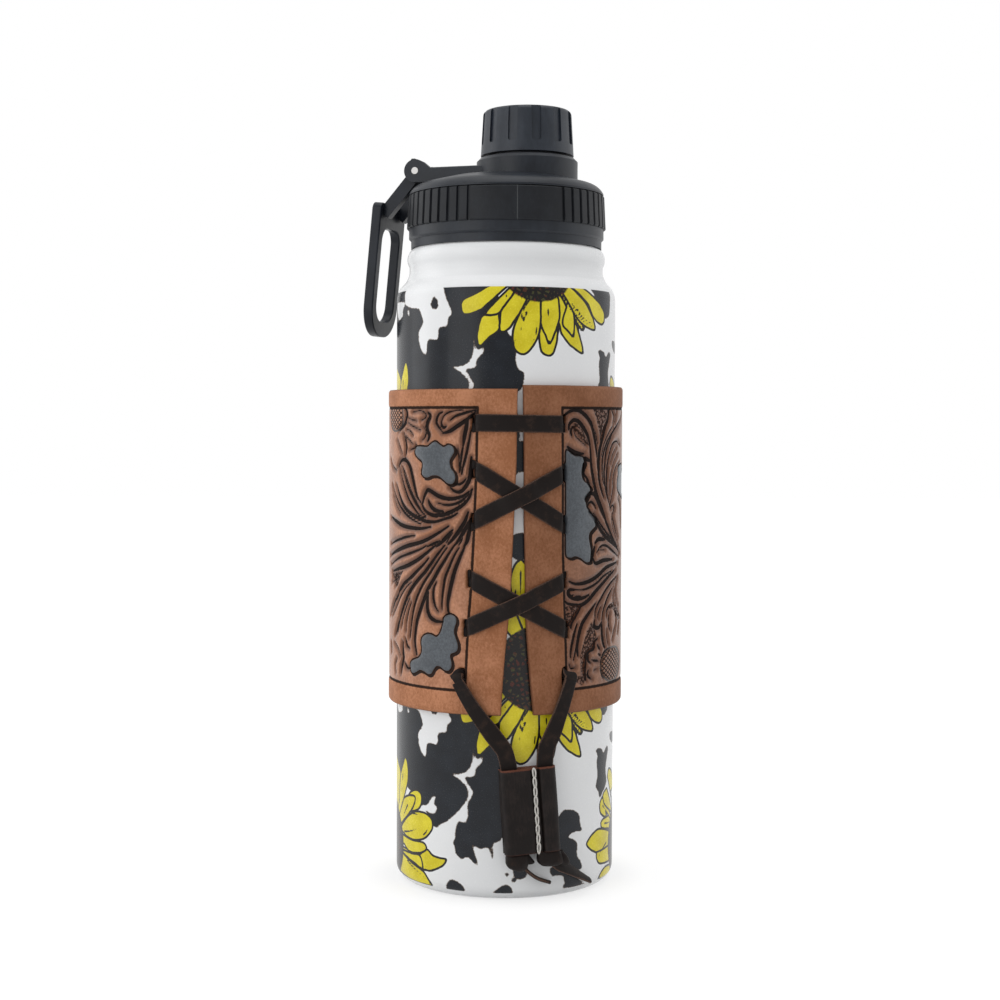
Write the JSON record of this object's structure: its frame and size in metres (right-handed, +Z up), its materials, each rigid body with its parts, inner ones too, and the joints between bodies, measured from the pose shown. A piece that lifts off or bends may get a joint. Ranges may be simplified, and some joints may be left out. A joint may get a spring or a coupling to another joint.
{
  "type": "water bottle",
  "caption": "Double-wall drink bottle with a screw lid, spout cap, folding carry loop and a laced tooled-leather sleeve with a slider bead.",
  "frame": {"origin": "on the bottle's axis, in the plane of the base rim that it stands on", "axes": "+Z up along the bottle's axis, the laced front towards -Y, +X to its right seen from the front"},
  "size_m": [0.0872, 0.0823, 0.256],
  "materials": {
    "printed_steel": "printed powder coat, satin",
    "steel": "brushed",
    "solder": "dull",
    "getter": "sintered",
    "lid_plastic": "fine moulded",
    "loop_plastic": "fine moulded",
    "silicone": "matt",
    "pin_steel": "darkened",
    "tooled_leather": "tooled and stained",
    "lace_leather": "smooth",
    "bead_leather": "smooth",
    "thread": "waxed"
  },
  "bodies": {
    "bottle": {"outer_shell": "printed_steel", "inner_flask": "steel", "outer_bottom": "steel", "vacuum_seal": "solder", "getter_pellet": "getter", "base_cap": "steel"},
    "lid_gasket": {"lid_gasket": "silicone"},
    "lid": {"lid_plug": "lid_plastic", "lid_core": "lid_plastic", "grip_ring": "lid_plastic", "lid_housing": "lid_plastic", "drinking_spout": "lid_plastic", "hinge_pin": "pin_steel"},
    "spout_seal": {"spout_seal": "silicone"},
    "spout_cap": {"spout_cap": "lid_plastic", "cap_liner": "lid_plastic"},
    "carry_loop": {"carry_loop": "loop_plastic"},
    "sleeve": {"leather_sleeve": "tooled_leather", "lace": "lace_leather", "lace_end_left": "lace_leather", "lace_end_right": "lace_leather", "knot_left": "lace_leather", "knot_right": "lace_leather"},
    "bead": {"slider_bead": "bead_leather", "bead_stitching": "thread"}
  },
  "joints": [
    {"name": "lid_rise", "type": "slide", "parent": "bottle", "child": "lid_gasket", "axis": [0, 0, 1], "range_m": [0, 0.01351]},
    {"name": "lid_turn", "type": "hinge", "parent": "lid_gasket", "child": "lid", "pos_m": [0, 0, 0.21], "axis": [0, 0, 1], "range_deg": [0, 1080]},
    {"name": "cap_rise", "type": "slide", "parent": "lid", "child": "spout_seal", "axis": [0, 0, 1], "range_m": [0, 0.01201]},
    {"name": "cap_turn", "type": "hinge", "parent": "spout_seal", "child": "spout_cap", "pos_m": [0.00688, -0.00211, 0.24], "axis": [0, 0, 1], "range_deg": [0, 1080]},
    {"name": "handle_swing", "type": "hinge", "parent": "lid", "child": "carry_loop", "pos_m": [-0.02716, 0.0083, 0.23635], "axis": [0.2924, 0.9563, 0], "range_deg": [0, 184]},
    {"name": "sleeve_slide", "type": "slide", "parent": "bottle", "child": "sleeve", "axis": [0, 0, 1], "range_m": [0, 0.016]},
    {"name": "bead_slide", "type": "slide", "parent": "sleeve", "child": "bead", "axis": [-0.0666, -0.0137, 0.9977], "range_m": [0, 0.015], "deforming": ["lace_end_left", "lace_end_right"]}
  ],
  "couplings": [
    {"joint": "lid_rise", "follows": "lid_turn", "m_per_rad": 0.0007162},
    {"joint": "cap_rise", "follows": "cap_turn", "m_per_rad": 0.00063662}
  ]
}
